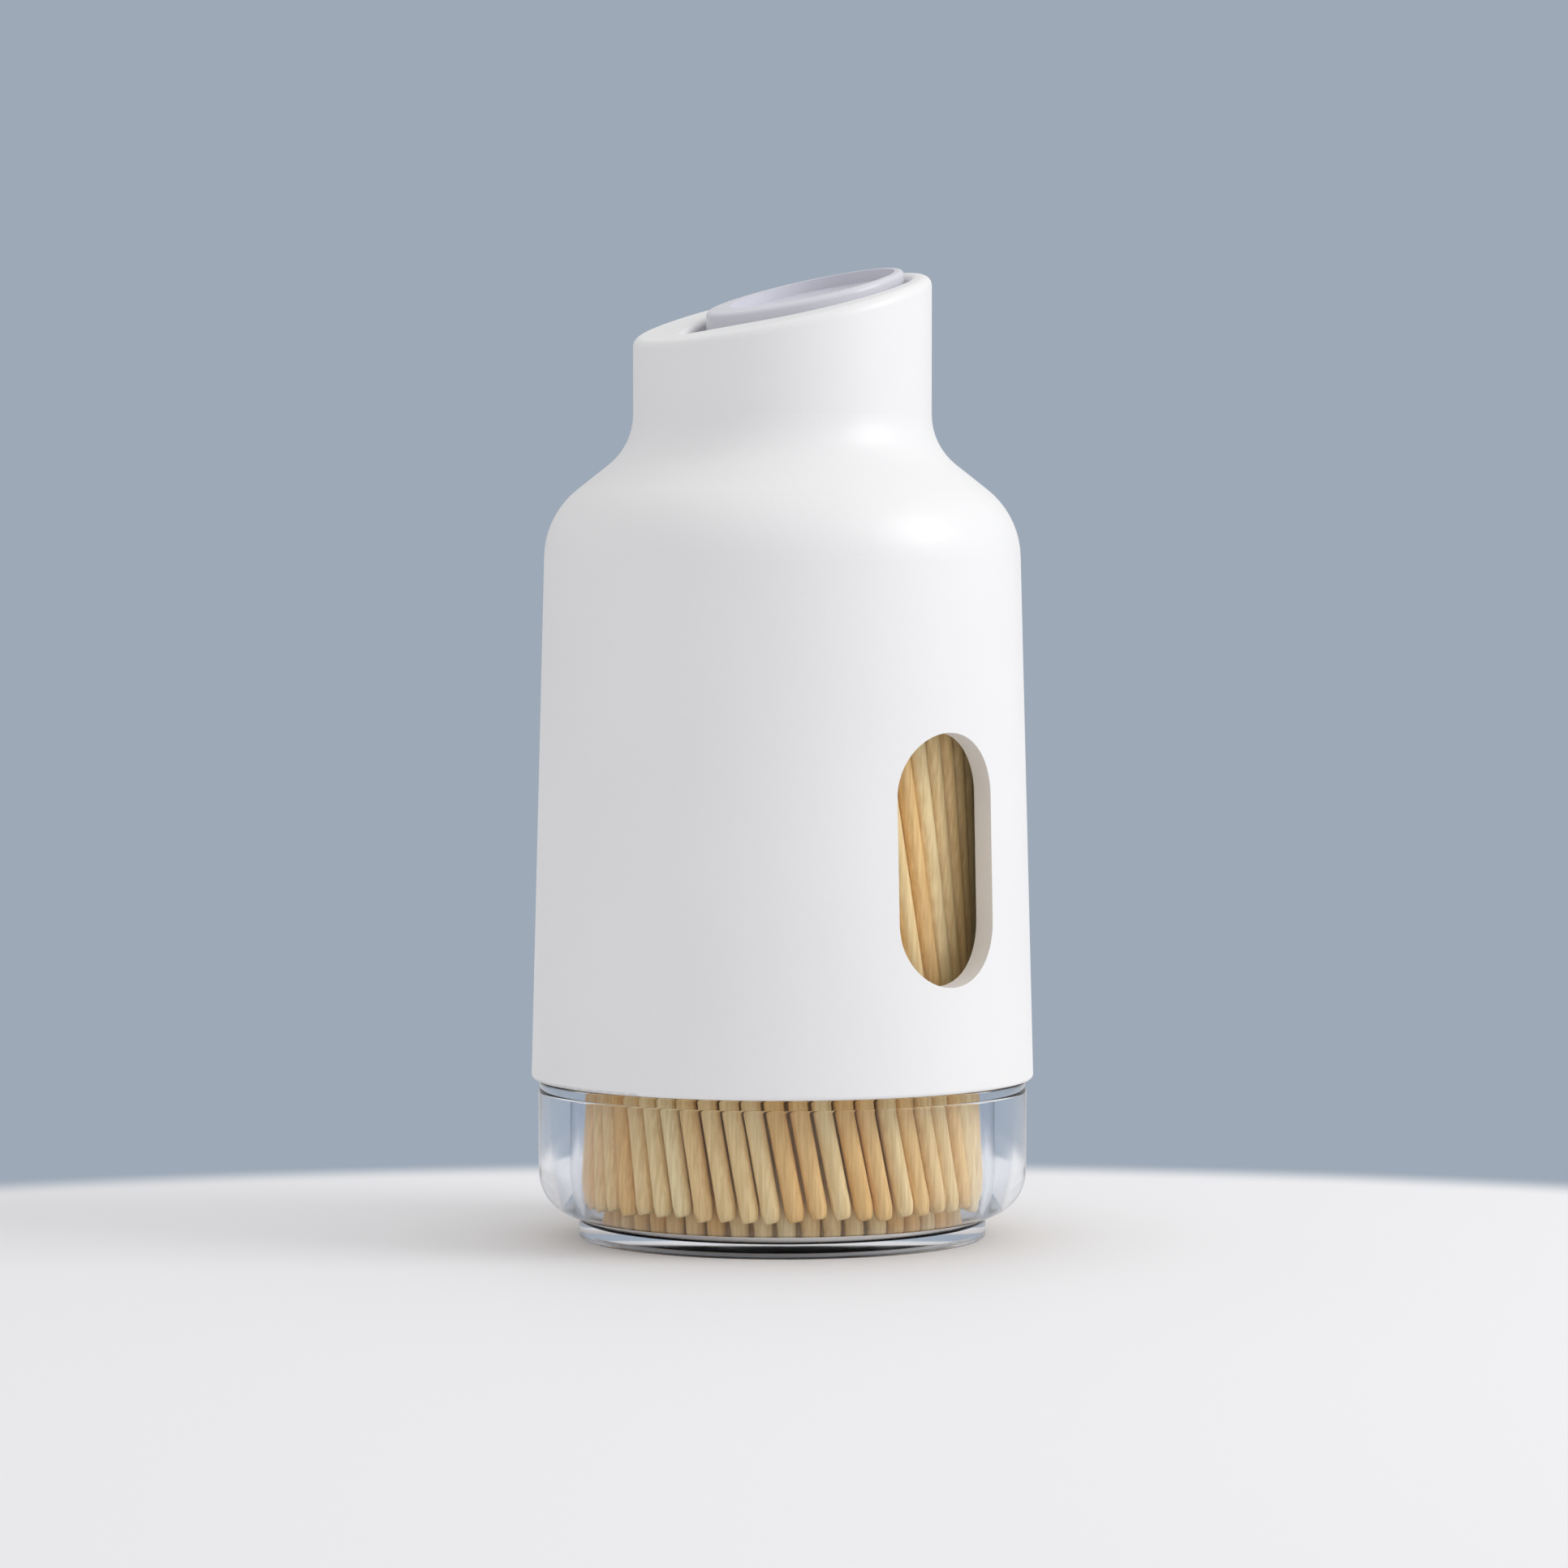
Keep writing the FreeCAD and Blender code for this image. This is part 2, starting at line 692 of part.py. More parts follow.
def make_mechanism_frame():
    """Disc screwed under the shell's bosses, with two cheeks and the spring's post."""
    inner_radius = shell_body_bore(frame_z) - frame_gap
    disc = rod(inner_radius, frame_z, frame_top_z)
    inside = cheek_face_y()
    for side in (-1, 1):
        y_range = sorted([side * inside, side * (inside + cheek_thickness)])
        cheek = block((pinion_x - cheek_half_length, pinion_x + cheek_half_length), y_range,
                      (frame_top_z - 0.5, pinion_z + cheek_over_axle))
        disc = disc.fuse(cheek)
    disc = disc.fuse(rod(post_radius, frame_top_z - 0.5, frame_top_z + post_height, spring_x))
    slot = block((lifter_back_x - free_gap, stem_back_x + free_gap), (-inside, inside), (frame_z - 1, frame_top_z + 1))
    disc = disc.cut(slot)
    disc = disc.cut(rod(stick_radius + stick_way, frame_z - 1, frame_top_z + 1, exit_x))
    hole = Part.makeCylinder(axle_radius + running_fit, 20, Vector(pinion_x, -10, pinion_z), Vector(0, 1, 0))
    disc = disc.cut(hole)
    for x, y in boss_places():
        disc = disc.cut(rod(screw_radius + 0.1, frame_z - 1, frame_top_z + 1, x, y))
    return one_solid(disc)


def shell_body_bore(z):
    """Radius of the shell's bore at a height on its drafted side."""
    share = (z - shell_bottom_z) / side_height
    return shell_bottom_radius - shell_wall - (shell_bottom_radius - shoulder_radius) * share


def make_pick_funnel():
    """Funnel under the frame, flat on the side where the rack passes."""
    low = frame_z - funnel_height
    throat = stick_radius + stick_way
    steps = [
        (throat, frame_z),
        (throat, frame_z - funnel_height / 2),
        (funnel_mouth_radius, low),
        (funnel_mouth_radius + funnel_wall, low),
        (funnel_mouth_radius + funnel_wall, frame_z),
    ]
    funnel = turned(steps, exit_x)
    flat_x = lifter_back_x - free_gap
    return one_solid(funnel.cut(block((flat_x, flat_x + 20), (-20, 20), (low - 1, frame_z + 1))))


def make_button_guide():
    """Collar in the neck that guides the button, open where the lifter rises."""
    collar_radius = neck_bore_radius - running_fit * 2
    top = mouth_z + mouth_height
    collar = rod(collar_radius, guide_bottom_z, top).common(below_mouth(-mouth_plate))
    collar = collar.cut(rod(button_radius + slip, guide_bottom_z - 1, top + 1, button_x))
    half = holder_radius + free_gap
    slot = block((-neck_radius, button_low_x + 2), (-half, half), (guide_bottom_z - 1, top + 1))
    return one_solid(collar.cut(slot))


def make_exit_guide():
    """Channel that leads the raised stick to the notch, with a rib to the neck."""
    low = mouth_level(exit_x, -mouth_plate) - exit_guide_length
    bore = stick_radius + stick_way
    top = mouth_z + mouth_height
    tube = rod(bore + exit_guide_wall, low, top, exit_x)
    rib_y = exit_guide_wall / 2
    rib = block((-neck_bore_radius + running_fit, exit_x), (-rib_y, rib_y), (low, top))
    guide = tube.fuse(rib).common(below_mouth(-mouth_plate))
    guide = guide.cut(rod(bore, low - 1, top + 1, exit_x))
    cut_x = button_low_x - free_gap - slip
    return one_solid(guide.cut(block((cut_x, cut_x + 20), (-20, 20), (low - 1, top + 1))))


def make_frame_screws():
    """Three pan-head screws from below the frame into the bosses."""
    screws = []
    for x, y in boss_places():
        shank = rod(screw_radius - 0.02, frame_z - 0.1, frame_z + screw_length, x, y)
        head = rod(screw_head_radius, frame_z - screw_head_height, frame_z, x, y)
        low = frame_z - screw_head_height
        half = screw_slot_width / 2
        cross = block((x - 1.2, x + 1.2), (y - half, y + half), (low - 1, low + screw_slot_depth))
        cross = cross.fuse(block((x - half, x + half), (y - 1.2, y + 1.2), (low - 1, low + screw_slot_depth)))
        screws.append(one_solid(head.fuse(shank).cut(cross)))
    return Part.makeCompound(screws)


# Sticks

def make_stick():
    """Round stick with a blunt foot and a point at its top, standing on the origin."""
    steps = [
        (0, 0),
        (stick_foot_radius, 0),
        (stick_radius, stick_foot),
        (stick_radius, stick_length - stick_point),
        (stick_tip_radius, stick_length),
        (0, stick_length),
    ]
    return turned(steps)


def make_stick_ring(ring_radius):
    """Ring of sticks that all lean the same way round the canister."""
    stick = make_stick()
    half_run = stick_length / 2 * math.sin(lean_angle)
    middle_radius = math.sqrt(ring_radius ** 2 - half_run ** 2)
    room = 2 * math.pi * middle_radius * math.cos(lean_angle)
    count = math.floor(room / (stick_diameter + stick_spacing))
    sticks = []
    for index in range(count):
        copy = stick.copy()
        copy.translate(Vector(0, 0, -stick_length / 2))
        copy.rotate(Vector(0, 0, 0), Vector(1, 0, 0), stick_lean)
        rise = stick_length / 2 * math.cos(lean_angle)
        copy.translate(Vector(middle_radius, 0, stick_rest_z(ring_radius) + rise))
        copy.rotate(Vector(0, 0, 0), UP, index * 360 / count)
        sticks.append(copy)
    return Part.makeCompound(sticks)


def make_ready_toothpick():
    """Stick held in the lifter, its point just under the mouth."""
    stick = make_stick()
    stick.translate(Vector(exit_x, 0, ready_stick_top_z - stick_length))
    return stick


def write_parts():
    parts = {
        "base_bowl": make_base_bowl(),
        "canister": make_canister(),
        "seal_ring": make_seal_ring(),
        "outer_shell": make_outer_shell(),
        "press_button": make_press_button(),
        "button_plunger": make_button_plunger(),
        "return_spring": make_return_spring(),
        "drive_pinion": make_drive_pinion(),
        "pinion_axle": make_pinion_axle(),
        "axle_clips": make_axle_clips(),
        "rack_lifter": make_rack_lifter(),
        "lifter_grip": make_lifter_grip(),
        "mechanism_frame": make_mechanism_frame(),
        "pick_funnel": make_pick_funnel(),
        "button_guide": make_button_guide(),
        "exit_guide": make_exit_guide(),
        "frame_screws": make_frame_screws(),
        "ready_toothpick": make_ready_toothpick(),
    }
    for name, ring_radius in zip(ring_names, ring_radii):
        parts[name] = make_stick_ring(ring_radius)
    os.makedirs("parts", exist_ok=True)
    for name, shape in parts.items():
        print(name, "solids", len(shape.Solids), "valid", shape.isValid(), "volume", round(shape.Volume, 1))
        shape.exportStep("parts/" + name + ".step")


write_parts()
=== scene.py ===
import math
import random

import bmesh
import bpy
from mathutils import Matrix, Vector


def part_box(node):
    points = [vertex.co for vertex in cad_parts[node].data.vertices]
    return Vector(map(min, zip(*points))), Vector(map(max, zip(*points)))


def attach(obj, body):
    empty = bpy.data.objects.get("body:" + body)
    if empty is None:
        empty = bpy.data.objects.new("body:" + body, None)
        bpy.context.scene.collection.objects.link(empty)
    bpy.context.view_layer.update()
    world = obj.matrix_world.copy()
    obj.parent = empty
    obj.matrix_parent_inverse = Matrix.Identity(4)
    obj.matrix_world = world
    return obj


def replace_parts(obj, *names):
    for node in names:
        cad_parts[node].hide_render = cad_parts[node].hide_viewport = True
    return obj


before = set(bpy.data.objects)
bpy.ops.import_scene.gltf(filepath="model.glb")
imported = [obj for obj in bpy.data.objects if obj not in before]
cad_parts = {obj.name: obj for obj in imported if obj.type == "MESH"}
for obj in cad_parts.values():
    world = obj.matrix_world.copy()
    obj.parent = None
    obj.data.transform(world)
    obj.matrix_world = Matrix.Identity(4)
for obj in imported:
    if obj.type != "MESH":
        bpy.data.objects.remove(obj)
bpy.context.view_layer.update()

# Sizes in metres, in the frame's own axes
MM = 0.001
BOWL_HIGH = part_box("base_bowl")[1]
CANISTER_LOW, CANISTER_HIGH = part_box("canister")
SHELL_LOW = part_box("outer_shell")[0]

BOWL_RADIUS = BOWL_HIGH.x
BOWL_TOP = BOWL_HIGH.z
BOWL_WALL = 1.3 * MM
BOWL_CORNER = 4.8 * MM
FOOT_HEIGHT = 2.3 * MM
FOOT_RADIUS = 21.9 * MM
FOOT_WIDTH = 1.7 * MM
FLOOR_LIFT = 0.5 * MM

CANISTER_BORE = 22.0 * MM
CANISTER_WALL = 0.9 * MM
CANISTER_SEAT = CANISTER_LOW.z
CANISTER_FLOOR = CANISTER_SEAT + 0.8 * MM
CANISTER_CORNER = 3.5 * MM
FLANGE_TOP = SHELL_LOW.z - 0.05 * MM
SEAL_BAND_RADIUS = 24.2 * MM
SEAL_BAND_TOP = FLANGE_TOP + 5.9 * MM
GROOVE_RADIUS = 23.1 * MM
GROOVE_LOW = FLANGE_TOP + 2.1 * MM
GROOVE_HIGH = GROOVE_LOW + 2.0 * MM

STICK_LENGTH = 65.0 * MM
STICK_RADIUS = 1.05 * MM
STICK_POINT = 6.0 * MM
STICK_TIP = 0.3 * MM
STICK_FOOT = 1.0 * MM
STICK_FOOT_RADIUS = 0.7 * MM
STICK_LEAN = math.radians(11.0)
STICK_CLEARANCE = 0.15 * MM
STICK_RINGS = (("toothpicks_outer", 20.75 * MM, 54), ("toothpicks_middle", 18.35 * MM, 47),
               ("toothpicks_inner", 15.95 * MM, 40))

LATHE_STEPS = 192
ARC_STEPS = 10

# Camera, from the photograph's framing
CAMERA_TURN = math.radians(-30.0)
CAMERA_DISTANCE = 0.70
CAMERA_HEIGHT = 0.0845
CAMERA_AIM_HEIGHT = 0.0487
CAMERA_AIM_SHIFT = 0.17 * MM
CAMERA_FOCAL = 149.7
SENSOR_WIDTH = 36.0
TOWARD_CAMERA = Vector((math.sin(CAMERA_TURN), -math.cos(CAMERA_TURN), 0))
LAMP_AIM_HEIGHT = 0.055

# Colours, linear
BACKDROP = (0.340, 0.397, 0.472, 1)
FLOOR_PALE = (0.86, 0.86, 0.88, 1)
SKY_LOW = (0.60, 0.60, 0.61, 1)
SKY_HIGH = (1.12, 1.12, 1.12, 1)
SHELL_PALE = (0.86, 0.86, 0.865, 1)
SHELL_DARK = (0.84, 0.84, 0.848, 1)
# The button's grey-lilac is painted shade, darker than the shell, with a painted blue reflection of the
# backdrop
BUTTON_PAINTED_SHADE_PALE = (0.69, 0.69, 0.755, 1)
BUTTON_PAINTED_SHADE_DARK = (0.66, 0.66, 0.73, 1)
INNER_PALE = (0.76, 0.76, 0.78, 1)
INNER_DARK = (0.73, 0.73, 0.755, 1)
GEAR_PALE = (0.84, 0.82, 0.76, 1)
GEAR_DARK = (0.80, 0.78, 0.71, 1)
CLEAR_TINT = (0.97, 0.98, 1.0, 1)
CLEAR_PASSED = (0.99, 0.99, 0.99, 1)
WOOD_TONES = ((0.92, 0.58, 0.22, 1), (1.0, 0.82, 0.46, 1))

# Materials' and lights' strengths
CLEAR_BENDING = 1.20
GLOSS_SPREAD = 0.03
WORLD_STRENGTH = 0.80

# Floor, in metres: its half size, and the round pale part around a point toward the camera
FLOOR_HALF = 3.0
FLOOR_SHIFT = 0.13
FLOOR_EDGE_INSIDE = FLOOR_SHIFT + 0.058
FLOOR_EDGE_OUTSIDE = FLOOR_SHIFT + 0.075


# Meshes

def new_object(name, mesh):
    piece = bpy.data.objects.new(name, mesh)
    bpy.context.scene.collection.objects.link(piece)
    return piece


def arc(centre, radius, first, last):
    """Points of an arc in the half plane, angles in degrees."""
    points = []
    for step in range(ARC_STEPS + 1):
        turn = math.radians(first + (last - first) * step / ARC_STEPS)
        points.append((centre[0] + radius * math.cos(turn), centre[1] + radius * math.sin(turn)))
    return points


def lathe(name, profile):
    """Closed solid of revolution; the profile starts and ends on the axis."""
    mesh = bmesh.new()
    rings = []
    for radius, height in profile:
        if radius < 1e-7:
            rings.append([mesh.verts.new((0, 0, height))])
            continue
        ring = []
        for step in range(LATHE_STEPS):
            turn = 2 * math.pi * step / LATHE_STEPS
            ring.append(mesh.verts.new((radius * math.cos(turn), radius * math.sin(turn), height)))
        rings.append(ring)
    for below, above in zip(rings, rings[1:]):
        for step in range(LATHE_STEPS):
            after = (step + 1) % LATHE_STEPS
            if len(below) == 1:
                mesh.faces.new((below[0], above[after], above[step]))
            elif len(above) == 1:
                mesh.faces.new((below[step], below[after], above[0]))
            else:
                mesh.faces.new((below[step], below[after], above[after], above[step]))
    bmesh.ops.recalc_face_normals(mesh, faces=mesh.faces)
    data = bpy.data.meshes.new(name)
    mesh.to_mesh(data)
    mesh.free()
    data.polygons.foreach_set("use_smooth", [True] * len(data.polygons))
    data.set_sharp_from_angle(angle=math.radians(32))
    return new_object(name, data)


def make_clear_bowl():
    outer = (BOWL_RADIUS - BOWL_CORNER, FOOT_HEIGHT + BOWL_CORNER)
    reach = math.degrees(math.acos((FOOT_RADIUS - outer[0]) / BOWL_CORNER))
    edge = 0.3 * MM
    foot_inner = FOOT_RADIUS - FOOT_WIDTH
    inner_corner = BOWL_CORNER + BOWL_WALL + 0.4 * MM
    inner_radius = BOWL_RADIUS - BOWL_WALL
    lip = 0.25 * MM
    profile = [(0, FLOOR_LIFT), (foot_inner, FLOOR_LIFT), (foot_inner, edge)]
    profile += arc((foot_inner + edge, edge), edge, 180, 270)[1:]
    profile += arc((FOOT_RADIUS - edge, edge), edge, 270, 360)
    profile += arc(outer, BOWL_CORNER, -reach, 0)
    profile += arc((BOWL_RADIUS - lip, BOWL_TOP - lip), lip, 0, 90)
    profile += [(inner_radius, BOWL_TOP)]
    profile += arc((inner_radius - inner_corner, CANISTER_SEAT + inner_corner), inner_corner, 0, -90)
    profile += [(0, CANISTER_SEAT)]
    return lathe("clear_bowl", profile)


def make_clear_canister():
    radius = CANISTER_BORE + CANISTER_WALL
    outer_corner = CANISTER_CORNER + CANISTER_WALL
    outer = (radius - outer_corner, CANISTER_SEAT + outer_corner)
    inner = (CANISTER_BORE - CANISTER_CORNER, CANISTER_FLOOR + CANISTER_CORNER)
    lip = 0.25 * MM
    low_lift = 0.02 * MM
    profile = [(0, CANISTER_SEAT + low_lift)]
    profile += arc((outer[0], outer[1] + low_lift), outer_corner, -90, 0)
    profile += [(radius, BOWL_TOP + low_lift), (BOWL_RADIUS - lip, BOWL_TOP + low_lift)]
    profile += arc((BOWL_RADIUS - lip, FLANGE_TOP - lip), lip, 0, 90)
    profile += [(SEAL_BAND_RADIUS, FLANGE_TOP), (SEAL_BAND_RADIUS, GROOVE_LOW), (GROOVE_RADIUS, GROOVE_LOW)]
    profile += [(GROOVE_RADIUS, GROOVE_HIGH), (SEAL_BAND_RADIUS, GROOVE_HIGH)]
    profile += [(SEAL_BAND_RADIUS, SEAL_BAND_TOP), (radius, SEAL_BAND_TOP)]
    profile += arc((radius - lip, CANISTER_HIGH.z - lip), lip, 0, 90)
    profile += [(CANISTER_BORE, CANISTER_HIGH.z)]
    profile += arc(inner, CANISTER_CORNER, 0, -90)
    profile += [(0, CANISTER_FLOOR)]
    return lathe("clear_canister", profile)


# Sticks

def stick_rest_height(ring_radius):
    """Height of a leaning stick's foot on the canister's floor or corner."""
    corner_start = CANISTER_BORE - CANISTER_CORNER
    room = CANISTER_CORNER - STICK_CLEARANCE
    beyond = max(0.0, ring_radius + STICK_FOOT_RADIUS - corner_start)
    return CANISTER_FLOOR + CANISTER_CORNER - math.sqrt(room * room - beyond * beyond)


def add_stick(mesh, place, draw):
    """One turned stick with a blunt foot and a rounded point, slightly bent and uneven."""
    sides = 14
    body_start = 2 * MM
    body_end = STICK_LENGTH - 9 * MM
    heights = [0, 0.12 * MM, 0.4 * MM, STICK_FOOT]
    count = 16
    for step in range(count + 1):
        heights.append(body_start + (body_end - body_start) * step / count)
    heights += [STICK_LENGTH - height for height in (STICK_POINT, 4 * MM, 2 * MM, 0.6 * MM, 0.15 * MM, 0)]
    bow = draw.uniform(-0.12, 0.12) * MM
    bow_way = draw.uniform(0, math.pi)
    thick = draw.uniform(0.965, 1.0)
    spin = draw.uniform(0, math.pi)
    rings = []
    for height in heights:
        from_tip = STICK_LENGTH - height
        share = min(1.0, from_tip / STICK_POINT)
        radius = STICK_TIP + (STICK_RADIUS - STICK_TIP) * (1 - (1 - share) ** 1.35)
        if from_tip < 0.5 * MM:
            radius *= 0.55 + 0.45 * from_tip / (0.5 * MM)
        if height < STICK_FOOT:
            foot_share = math.sqrt(height / STICK_FOOT)
            radius = STICK_FOOT_RADIUS + (STICK_RADIUS - STICK_FOOT_RADIUS) * foot_share
        radius *= thick * draw.uniform(0.985, 1.0)
        sway = bow * math.sin(math.pi * height / STICK_LENGTH)
        ring = []
        for side in range(sides):
            turn = spin + 2 * math.pi * side / sides
            spot = Vector((radius * math.cos(turn) + sway * math.cos(bow_way),
                           radius * math.sin(turn) + sway * math.sin(bow_way), height))
            ring.append(mesh.verts.new(place @ spot))
        rings.append(ring)
    for below, above in zip(rings, rings[1:]):
        for side in range(sides):
            after = (side + 1) % sides
            mesh.faces.new((below[side], below[after], above[after], above[side]))
    mesh.faces.new(list(reversed(rings[0])))
    mesh.faces.new(rings[-1])


def finish_sticks(name, mesh, body, material):
    data = bpy.data.meshes.new(name)
    mesh.to_mesh(data)
    mesh.free()
    data.polygons.foreach_set("use_smooth", [True] * len(data.polygons))
    piece = new_object(name, data)
    piece.data.materials.append(material)
    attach(piece, body)
    return piece


def make_sticks(material):
    draw = random.Random(7)
    for node, ring_radius, count in STICK_RINGS:
        mesh = bmesh.new()
        half_run = STICK_LENGTH / 2 * math.sin(STICK_LEAN)
        rise = STICK_LENGTH / 2 * math.cos(STICK_LEAN)
        middle_radius = math.sqrt(ring_radius ** 2 - half_run ** 2)
        for index in range(count):
            lean = STICK_LEAN + math.radians(draw.uniform(-0.25, 0.25))
            centre = Vector((middle_radius, 0, stick_rest_height(ring_radius) + rise))
            centre.z += draw.uniform(0, 0.5) * MM
            place = (Matrix.Rotation(2 * math.pi * index / count, 4, "Z") @ Matrix.Translation(centre)
                     @ Matrix.Rotation(lean, 4, "X") @ Matrix.Translation((0, 0, -STICK_LENGTH / 2)))
            add_stick(mesh, place, draw)
        piece = finish_sticks(node.replace("toothpicks", "wood_sticks"), mesh, "base", material)
        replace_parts(piece, node)
    low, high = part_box("ready_toothpick")
    mesh = bmesh.new()
    add_stick(mesh, Matrix.Translation(((low.x + high.x) / 2, 0, low.z)), draw)
    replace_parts(finish_sticks("ready_stick", mesh, "ready_pick", material), "ready_toothpick")


# Materials

def new_material(name):
    material = bpy.data.materials.new(name)
    material.use_nodes = True
    tree = material.node_tree
    return material, tree, tree.nodes["Principled BSDF"]


def noise(tree, scale, detail=3.0, stretch=None):
    """Noise over the object's own coordinates, in marks per metre."""
    place = tree.nodes.new("ShaderNodeTexCoord")
    texture = tree.nodes.new("ShaderNodeTexNoise")
    texture.inputs["Scale"].default_value = scale
    texture.inputs["Detail"].default_value = detail
    if stretch:
        mapping = tree.nodes.new("ShaderNodeMapping")
        mapping.inputs["Scale"].default_value = stretch
        tree.links.new(place.outputs["Object"], mapping.inputs["Vector"])
        tree.links.new(mapping.outputs["Vector"], texture.inputs["Vector"])
    else:
        tree.links.new(place.outputs["Object"], texture.inputs["Vector"])
    return texture


def ramp(tree, source, low, high, colours):
    node = tree.nodes.new("ShaderNodeValToRGB")
    node.color_ramp.elements[0].position = low
    node.color_ramp.elements[0].color = colours[0]
    node.color_ramp.elements[1].position = high
    node.color_ramp.elements[1].color = colours[1]
    tree.links.new(source, node.inputs["Fac"])
    return node


def spread(tree, source, low, high):
    """The source's 0.3 to 0.7 spread over a new range."""
    node = tree.nodes.new("ShaderNodeMapRange")
    node.inputs["From Min"].default_value = 0.3
    node.inputs["From Max"].default_value = 0.7
    node.inputs["To Min"].default_value = low
    node.inputs["To Max"].default_value = high
    tree.links.new(source, node.inputs["Value"])
    return node.outputs["Result"]


def bump(tree, shader, source, depth, strength=1.0):
    node = tree.nodes.new("ShaderNodeBump")
    node.inputs["Strength"].default_value = strength
    node.inputs["Distance"].default_value = depth
    tree.links.new(source, node.inputs["Height"])
    tree.links.new(node.outputs["Normal"], shader.inputs["Normal"])


def moulded_plastic(name, pale, dark, roughness, grain, grain_depth):
    """Moulded plastic: faint clouding, uneven gloss and a fine spark-eroded grain."""
    material, tree, shader = new_material(name)
    cloud = noise(tree, 45, 2)
    tone = ramp(tree, cloud.outputs["Fac"], 0.3, 0.7, (dark, pale))
    tree.links.new(tone.outputs["Color"], shader.inputs["Base Color"])
    gloss = noise(tree, 160, 3)
    uneven = spread(tree, gloss.outputs["Fac"], roughness - GLOSS_SPREAD, roughness + GLOSS_SPREAD)
    tree.links.new(uneven, shader.inputs["Roughness"])
    fine = noise(tree, grain, 2)
    bump(tree, shader, fine.outputs["Fac"], grain_depth, 0.35)
    return material


def clear_plastic(name):
    """Clear plastic that lets light and shadow through. It bends light less than real plastic does,
    so that its edges stay pale."""
    material, tree, shader = new_material(name)
    shader.inputs["Base Color"].default_value = CLEAR_TINT
    shader.inputs["Transmission Weight"].default_value = 1.0
    shader.inputs["IOR"].default_value = CLEAR_BENDING
    gloss = noise(tree, 220, 2)
    tree.links.new(spread(tree, gloss.outputs["Fac"], 0.015, 0.05), shader.inputs["Roughness"])
    swirl = noise(tree, 70, 1)
    bump(tree, shader, swirl.outputs["Fac"], 0.06 * MM, 0.25)
    path = tree.nodes.new("ShaderNodeLightPath")
    through = tree.nodes.new("ShaderNodeBsdfTransparent")
    through.inputs["Color"].default_value = CLEAR_PASSED
    either = tree.nodes.new("ShaderNodeMath")
    either.operation = "MAXIMUM"
    mix = tree.nodes.new("ShaderNodeMixShader")
    tree.links.new(path.outputs["Is Shadow Ray"], either.inputs[0])
    tree.links.new(path.outputs["Is Diffuse Ray"], either.inputs[1])
    tree.links.new(either.outputs["Value"], mix.inputs["Fac"])
    tree.links.new(shader.outputs["BSDF"], mix.inputs[1])
    tree.links.new(through.outputs["BSDF"], mix.inputs[2])
    tree.links.new(mix.outputs["Shader"], tree.nodes["Material Output"].inputs["Surface"])
    return material


def stick_wood():
    """Pale birch with long fibres; each stick has its own tone."""
    material, tree, shader = new_material("stick_wood")
    island = tree.nodes.new("ShaderNodeNewGeometry")
    own = ramp(tree, island.outputs["Random Per Island"], 0.0, 1.0, WOOD_TONES)
    fibre = noise(tree, 1.0, 4, (3200, 3200, 140))
    tone = ramp(tree, fibre.outputs["Fac"], 0.35, 0.7, ((0.72, 0.62, 0.48, 1), (1, 1, 1, 1)))
    mix = tree.nodes.new("ShaderNodeMix")
    mix.data_type = "RGBA"
    mix.blend_type = "MULTIPLY"
    mix.inputs["Factor"].default_value = 0.7
    tree.links.new(own.outputs["Color"], mix.inputs["A"])
    tree.links.new(tone.outputs["Color"], mix.inputs["B"])
    tree.links.new(mix.outputs["Result"], shader.inputs["Base Color"])
    tree.links.new(spread(tree, fibre.outputs["Fac"], 0.5, 0.72), shader.inputs["Roughness"])
    bump(tree, shader, fibre.outputs["Fac"], 0.08 * MM, 0.6)
    return material


def steel():
    """Drawn steel with fine lengthwise marks."""
    material, tree, shader = new_material("steel")
    marks = noise(tree, 1.0, 3, (900, 900, 5000))
    tone = ramp(tree, marks.outputs["Fac"], 0.3, 0.7, ((0.48, 0.48, 0.50, 1), (0.66, 0.66, 0.68, 1)))
    tree.links.new(tone.outputs["Color"], shader.inputs["Base Color"])
    shader.inputs["Metallic"].default_value = 1.0
    tree.links.new(spread(tree, marks.outputs["Fac"], 0.22, 0.38), shader.inputs["Roughness"])
    bump(tree, shader, marks.outputs["Fac"], 0.02 * MM, 0.4)
    return material


def elastic():
    """Grey elastic with a dull skin."""
    material, tree, shader = new_material("elastic")
    cloud = noise(tree, 300, 2)
    tone = ramp(tree, cloud.outputs["Fac"], 0.3, 0.7, ((0.58, 0.58, 0.60, 1), (0.68, 0.68, 0.70, 1)))
    tree.links.new(tone.outputs["Color"], shader.inputs["Base Color"])
    tree.links.new(spread(tree, cloud.outputs["Fac"], 0.45, 0.6), shader.inputs["Roughness"])
    bump(tree, shader, cloud.outputs["Fac"], 0.03 * MM, 0.4)
    return material


def dress(node, material):
    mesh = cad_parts[node].data
    mesh.materials.clear()
    mesh.materials.append(material)


